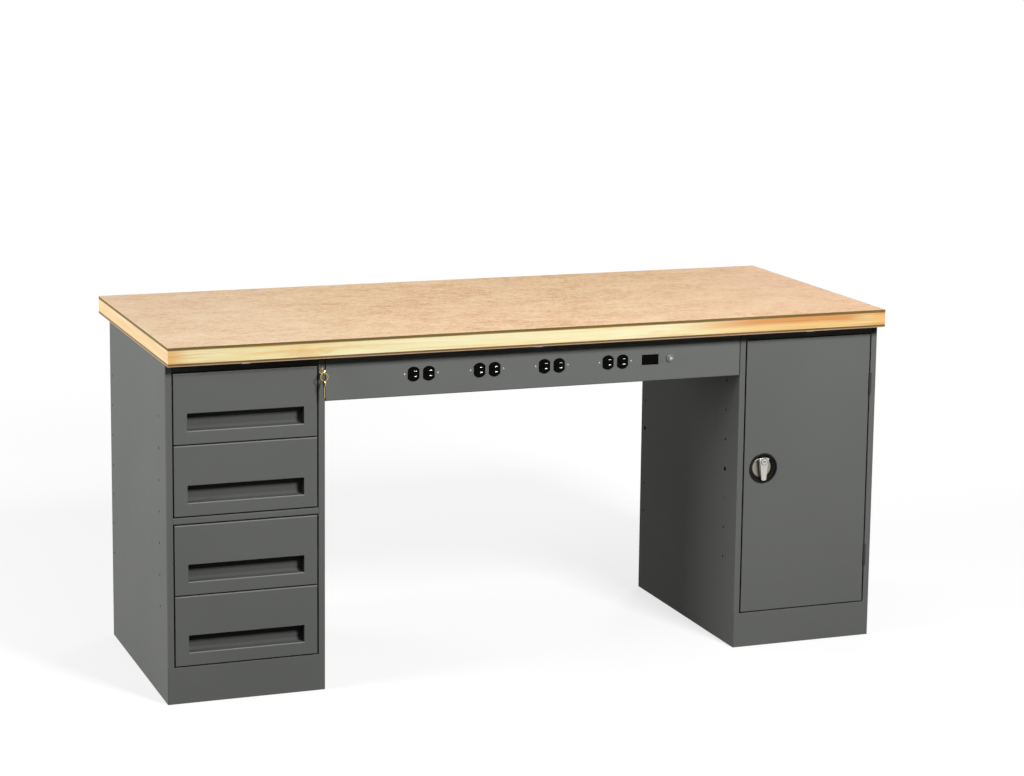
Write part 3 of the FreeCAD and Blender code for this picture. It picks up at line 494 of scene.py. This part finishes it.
def contact_nickel(start):
    """Nickel plate of the outlet contacts, a little dulled."""
    place = object_place(start)
    dull = noise(place, 900.0, 3.0)
    return {
        "Base Color": blend_colour(dull, (0.50, 0.49, 0.46, 1.0), (0.66, 0.65, 0.62, 1.0)),
        "Roughness": 0.26 + 0.16 * dull,
    }


def cloudy_zinc(start, shade):
    """Zinc without spangle: grey and cloudy, darker where shade is less."""
    cloud = noise(object_place(start), 700.0, 3.0)
    dark, light = ((*(shade * tone), 1.0) for tone in (zinc_dark, zinc_light))
    return {
        "Base Color": blend_colour(cloud, dark, light),
        "Roughness": 0.36 + 0.16 * cloud,
    }


def dull_zinc(start):
    """The breaker's nut."""
    return cloudy_zinc(start, 1.0)


def screw_zinc(start):
    """The outlet screws, which are a little brighter than the nut."""
    return cloudy_zinc(start, 1.6)


def spun_steel(start):
    """Plate in the handle's dish: rings left by the lathe round the handle's middle."""
    place = object_place(start)
    centred = stretched(place, (1.0, 1.0, 1.0), (-handle_x * MM, 0.0, -handle_z * MM))
    x, y, z = axes(centred)
    squared = x * x + z * z
    radius = squared.maths("SQRT", squared)
    lines = noise(radius.node("CombineXYZ", sockets={0: radius}), 2600.0, 2.0)
    smear = noise(place, 60.0, 3.0)
    return {
        "Base Color": blend_colour(smear, (0.24, 0.22, 0.18, 1.0), (0.36, 0.34, 0.29, 1.0)),
        "Roughness": 0.30 + 0.16 * lines,
        "Normal": bump(lines, 0.14, 0.0001),
    }


metal = {"Metallic": 1.0}
enamel_gloss = {"Specular IOR Level": 0.02}
finishes = {
    "grey_paint": finish("grey enamel", grey_enamel, enamel_gloss),
    "front": finish("enamel with painted highlights", highlighted_front, enamel_gloss),
    "apron": finish("apron enamel", apron_enamel, enamel_gloss),
    "side": finish("side enamel", side_enamel, enamel_gloss),
    "door": finish("door enamel", door_enamel, enamel_gloss),
    "painted_shade_coat": finish("enamel with painted shade", shaded_enamel, enamel_gloss),
    "trough": finish("trough enamel", trough_enamel, enamel_gloss),
    "dull_zinc": finish("dull zinc", dull_zinc, metal),
    "screw": finish("screw zinc", screw_zinc, metal),
    "hardboard": finish("hardboard", hardboard, {"Specular IOR Level": 0.12}),
    "underside": finish("backing board", underside_board, {"Specular IOR Level": 0.25}),
    "wood_core": finish("pine strip", pine_strip, {"Specular IOR Level": 0.30}),
    "zinc_steel": finish("zinc plate", zinc_plate, metal),
    "lever": finish("satin chrome", satin_chrome, metal),
    "chrome": finish("bright chrome", bright_chrome, metal),
    "brass": finish("key brass", key_brass, metal),
    "black_plastic": finish("moulded black", moulded_black, {"Specular IOR Level": 0.025}),
    "black_paint": finish("black enamel", black_enamel, {"Specular IOR Level": 0.16}),
    "contact": finish("contact nickel", contact_nickel, metal),
    "spun": finish("spun steel", spun_steel, metal),
}
# Parts whose finish isn't simply that of their material slot.
own_finish = {
    "worktop_bottom_skin": "underside",
    "handle_lever": "lever",
    "shelf_clips": "black_paint",
    "hinge_pins": "black_paint",
    "key_ring": "brass",
    "breaker_body": "dull_zinc",
    "apron_panel": "apron",
    "left_inner_side": "side",
    "right_inner_side": "side",
    "left_top_frame": "painted_shade_coat",
    "door_panel": "door",
    "hinge_frame_leaves": "painted_shade_coat",
    "hinge_door_leaves": "painted_shade_coat",
    **{f"drawer_{number}_front": "front" for number in drawers},
    **{f"drawer_{number}_pull": "trough" for number in drawers},
}
for row in frame["record"]["subparts"]:
    node = parts[row["node"]]
    chosen = finishes[own_finish.get(row["node"], row["material_slot"])]
    if not node.material_slots:
        node.data.materials.append(chosen)
    for holder in node.material_slots:
        holder.material = chosen


def skin_faces(rows, around, first=0):
    """Quads between neighbouring rows of loop points, and fans to a single point before and after them."""
    body = first + 1 + np.arange(rows * around).reshape(rows, around)
    beside = np.roll(body, -1, axis=1)
    quads = np.stack([body[:-1], body[1:], beside[1:], beside[:-1]], axis=-1).reshape(-1, 4)
    start = np.full(around, first)
    end = np.full(around, first + 1 + rows * around)
    fans = np.concatenate([
        np.stack([start, body[0], beside[0]], axis=-1),
        np.stack([end, beside[-1], body[-1]], axis=-1),
    ])
    return quads.tolist() + fans.tolist()


def add_piece(name, points, faces, material, body):
    """Puts points in millimetres and faces into a mesh that rides on a body."""
    mesh = bpy.data.meshes.new(name)
    mesh.from_pydata((np.asarray(points) * MM).tolist(), [], faces)
    mesh.validate()
    mesh.materials.append(material)
    piece = bpy.data.objects.new(name, mesh)
    bpy.context.scene.collection.objects.link(piece)
    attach(piece, body)
    return piece


def add_copies(name, rows, places, material, body, smooth=True):
    """Copies of one closed skin at several places of an upright surface that faces the front.

    rows is an array (row, point, 3) of lengths to the right, upwards and out of the surface. Its first and
    last rows are single points.
    """
    local = np.stack([rows[..., 0], -rows[..., 2], rows[..., 1]], axis=-1)
    count, around = local.shape[0] - 2, local.shape[1]
    one = np.concatenate([local[:1, 0], local[1:-1].reshape(-1, 3), local[-1:, 0]])
    points = (np.asarray(places)[:, None, :] + one[None]).reshape(-1, 3)
    faces = []
    for number in range(len(places)):
        faces += skin_faces(count, around, number * len(one))
    piece = add_piece(name, points, faces, material, body)
    piece.data.polygons.foreach_set("use_smooth", np.full(len(piece.data.polygons), smooth))
    return piece


def slotted_head(radius, height, slot_width, slot_depth, steps=25, side_steps=7, bulge=0.9):
    """Oval screw head: across each chord of its circle the dome's height falls off as a circle's does,
    and between the slot's two walls the surface drops to a flat floor.

    With a bulge of 1 the dome would come down to nothing at its rim.
    """
    s = np.sin(np.linspace(-np.pi / 2, np.pi / 2, steps))[:, None] * radius
    half = np.sqrt(np.maximum(radius ** 2 - s ** 2, 0.0))
    wall = np.minimum(slot_width / 2, half)
    t = np.linspace(0.0, 1.0, side_steps)[None]
    left = -half + (half - wall) * t
    floor = np.concatenate([-wall, -wall * 0.3, wall * 0.3, wall], axis=1)
    across = np.concatenate([left, floor, -left[:, ::-1]], axis=1)
    dome = height * np.sqrt(np.clip(1.0 - bulge * (s ** 2 + across ** 2) / radius ** 2, 0.0, 1.0))
    lowest = height - slot_depth
    in_slot = np.zeros(across.shape[1], bool)
    in_slot[t.shape[1]:t.shape[1] + floor.shape[1]] = True
    up = np.where(in_slot[None], np.minimum(dome, lowest), dome)
    rim = np.concatenate([half, -half], axis=1)
    loop_across = np.concatenate([across, rim], axis=1)
    loop_up = np.concatenate([up, np.zeros_like(rim)], axis=1)
    return np.stack([np.broadcast_to(s, loop_across.shape), loop_across, loop_up], axis=-1)


def rounded_strip(length, width, depth, steps=17, around=20, power=6):
    """Strip with an oval section that closes to a point at both ends along a superellipse of a high power."""
    s = np.sin(np.linspace(-np.pi / 2, np.pi / 2, steps))[:, None]
    taper = np.maximum(1.0 - np.abs(s) ** power, 0.0) ** (1 / power)
    angle = np.linspace(0.0, 2 * np.pi, around, endpoint=False)[None]
    across = width / 2 * np.cos(angle) * taper
    up = depth / 2 * np.sin(angle) * taper
    return np.stack([np.broadcast_to(s * length / 2, across.shape), across, up], axis=-1)


def turned_ring(name, centre, profile, material, body, around=96):
    """Ring turned about the Y axis: each point of a closed profile (radius, y) goes once round the centre."""
    angle = np.linspace(0.0, 2 * np.pi, around, endpoint=False)[:, None]
    radius, depth = np.asarray(profile, float).T
    points = np.stack([
        centre[0] + radius * np.cos(angle),
        np.broadcast_to(depth, (around, len(depth))),
        centre[1] + radius * np.sin(angle),
    ], axis=-1)
    index = np.arange(points.shape[0] * points.shape[1]).reshape(points.shape[:2])
    after = np.roll(index, -1, axis=0)
    quads = np.stack([index, np.roll(index, -1, axis=1), np.roll(after, -1, axis=1), after], axis=-1)
    return add_piece(name, points.reshape(-1, 3), quads.reshape(-1, 4).tolist(), material, body)


# Screws beside the outlets, in millimetres.
screw_radius = 2.7
screw_height = 1.1
screw_slot_width = 0.8
screw_slot_depth = 0.6
sides = (-1, 1)
screw_places = [
    (x + side * outlet_screw_offset, panel_face, receptacle_z)
    for x in receptacle_xs for side in sides
]
screw_head = slotted_head(screw_radius, screw_height, screw_slot_width, screw_slot_depth)
add_copies("outlet_screws", screw_head, screw_places, finishes["screw"], "bench", smooth=False)

# Contacts that show in the outlet slots: word, length, width, depth under the outlet's face, and side.
outlet_centres = [x + side * outlet_offset for x in receptacle_xs for side in sides]
contact_thickness = 1.0
contact_rows = (("upper", 7.6, 1.3, 1.1, 1), ("lower", 6.5, 2.1, 0.6, -1))
for word, length, width, recess, side in contact_rows:
    contact_z = receptacle_z + side * slot_rise
    places = [(x + slot_shift, receptacle_face + recess, contact_z) for x in outlet_centres]
    strip = rounded_strip(length, width, contact_thickness)
    add_copies(f"outlet_contacts_{word}", strip, places, finishes["contact"], "bench")

# Turned plate on the floor of the handle's dish: radius and distance in front of that floor.
plate_outline = ((6.5, 0.2), (7.0, 0.7), (24.3, 0.7), (25.2, 0.3), (25.2, 0.05), (6.5, 0.05))
plate_profile = [(radius, dish_floor - proud) for radius, proud in plate_outline]
turned_ring("handle_floor_plate", (handle_x, handle_z), plate_profile, finishes["spun"], "door")

# Painted shade: a black ring where the groove round the lever's lock is shaded, and a black strip in the
# keyway in it: radius and distance in front of the lever's face.
groove_shade_outline = ((7.65, -0.1), (7.65, 0.3), (8.7, 0.3), (9.0, -0.1))
groove_shade_profile = [(radius, lever_face - proud) for radius, proud in groove_shade_outline]
lock_centre = (handle_x, lever_lock_z)
turned_ring("lever_groove_shade", lock_centre, groove_shade_profile,
            finishes["black_paint"], "lever")
# Black strip as painted shade in the keyway.
keyway_proud = 0.1
keyway = rounded_strip(length=8.6, width=2.0, depth=0.8)
keyway_place = [(handle_x, lever_face - keyway_proud, lever_lock_z)]
add_copies("lever_keyway_shade", keyway, keyway_place, finishes["black_paint"], "lever")


def camera_at(place, yaw, pitch, roll, focal, centre_row):
    """Camera from a survey of the photograph: turned by yaw, then pitch, then roll, as rows of a matrix."""
    cy, sy = math.cos(yaw), math.sin(yaw)
    cp, sp = math.cos(pitch), math.sin(pitch)
    cr, sr = math.cos(roll), math.sin(roll)
    turn = (
        np.array([[cr, 0, sr], [0, 1, 0], [-sr, 0, cr]])
        @ np.array([[1, 0, 0], [0, cp, sp], [0, -sp, cp]])
        @ np.array([[cy, sy, 0], [-sy, cy, 0], [0, 0, 1]])
    )
    right, forward, up = turn
    data = bpy.data.cameras.new("camera")
    data.sensor_width = 36.0
    data.lens = focal / image_width * data.sensor_width
    data.shift_y = (centre_row - image_height / 2) / image_width
    data.clip_end = 200.0
    camera = bpy.data.objects.new("camera", data)
    rows = np.eye(4)
    rows[:3, :3] = np.stack([right, up, -forward], axis=1)
    rows[:3, 3] = np.asarray(place) * MM
    camera.matrix_world = Matrix(rows.tolist())
    bpy.context.scene.collection.objects.link(camera)
    bpy.context.scene.camera = camera


# Survey of the photograph: lengths in millimetres from the floor under the top's front left corner, turns in
# radians, and the focal length and the row of the optical centre in pixels of its frame.
image_width, image_height = 1024.0, 776.0
survey_corner = np.array([top_low[0], top_low[1], 0.0])
camera_from_corner = np.array([-1325.2975, -5735.5081, 1934.2718])
camera_yaw, camera_pitch, camera_roll = -0.3595061, -0.1637203, 0.0113672
camera_focal, camera_row = 2624.6153, 300.0
camera_at(survey_corner + camera_from_corner, camera_yaw, camera_pitch, camera_roll, camera_focal, camera_row)


def soft_box(name, direction, distance, side, level):
    """Square lamp that lights the bench's middle to a level at which 1 shows a facing colour as written."""
    towards = Vector(direction).normalized()
    data = bpy.data.lights.new(name, "AREA")
    data.shape = "RECTANGLE"
    data.size, data.size_y = side, side
    data.energy = level * math.pi ** 2 * distance ** 2
    lamp = bpy.data.objects.new(name, data)
    lamp.location = lit_middle + towards * distance
    lamp.rotation_euler = towards.to_track_quat("Z", "Y").to_euler()
    bpy.context.scene.collection.objects.link(lamp)


# Each lamp: direction from the lit middle, distance and side in metres, and level.
lit_middle = Vector((0.0, -0.1, 0.45))
lamps = {
    "key_lamp": ((0.23, -0.78, 0.583), 5.0, 1.0, 0.98),
    "top_lamp": ((0.0, 0.30, 0.95), 4.5, 1.6, 0.12),
    "left_lamp": ((-0.96, -0.14, 0.24), 4.5, 1.4, 0.56),
    "rear_lamp": ((-0.75, 0.62, 0.20), 4.5, 1.4, 0.26),
    "right_lamp": ((0.62, 0.75, 0.22), 4.5, 1.4, 0.34),
}
for name, (direction, distance, side, level) in lamps.items():
    soft_box(name, direction, distance, side, level)


def seen_rays(start):
    """1 for camera, glossy and transmission rays, which see the white background, and 0 for the rest."""
    camera = start.node("LightPath", out="Is Camera Ray")
    glossy, through = camera.also("Is Glossy Ray"), camera.also("Is Transmission Ray")
    return camera.maths("MAXIMUM", camera.maths("MAXIMUM", camera, glossy), through)


def light_world(ambient):
    """White to the rays that see it, and a low even light to the rest."""
    world = bpy.data.worlds.new("studio")
    world.use_nodes = True
    background = world.node_tree.nodes["Background"]
    start = Wire(world.node_tree)
    level = ambient + (1.0 - ambient) * seen_rays(start)
    world.node_tree.links.new(level.socket, background.inputs["Strength"])
    background.inputs["Color"].default_value = (1.0, 1.0, 1.0, 1.0)
    bpy.context.scene.world = world


def studio_floor(paint, lift, bounce):
    """Pale floor: it takes the bench's shadow near the bench and melts into the white background further out.

    paint is its grey to the rays that see it, lift the glow added to that, and bounce its grey to the rest.
    """
    half, drop = 60.0, -0.0006
    melt_start, melt_end = 1.7, 3.6
    far_glow = 0.1
    mesh = bpy.data.meshes.new("studio_floor")
    outline = [(-half, -half, drop), (half, -half, drop), (half, half, drop), (-half, half, drop)]
    mesh.from_pydata(outline, [], [(0, 1, 2, 3)])
    material = bpy.data.materials.new("studio floor")
    material.use_nodes = True
    tree = material.node_tree
    start = Wire(tree)
    seen = seen_rays(start)
    place = object_place(start)
    away = place.node("VectorMath", {"operation": "LENGTH"}, {0: place}, out="Value")
    shade = blend_colour(seen, (bounce, bounce, bounce, 1.0), (paint, paint, paint, 1.0))
    matt = start.node("BsdfDiffuse", sockets={"Color": shade})
    glow = start.node("Emission", sockets={"Strength": seen * lift})
    near = start.node("AddShader", sockets={0: matt, 1: glow})
    far = start.node("Emission", sockets={"Strength": far_glow + (1.0 - far_glow) * seen})
    whole = start.node("MixShader", sockets={0: rise(away, melt_start, melt_end), 1: near, 2: far})
    output = next(node for node in tree.nodes if node.type == "OUTPUT_MATERIAL")
    tree.links.new(whole.socket, output.inputs["Surface"])
    mesh.materials.append(material)
    floor = bpy.data.objects.new("studio_floor", mesh)
    bpy.context.scene.collection.objects.link(floor)


light_world(ambient=0.02)
studio_floor(paint=0.30, lift=0.74, bounce=0.03)
bpy.context.scene.view_settings.view_transform = "Standard"
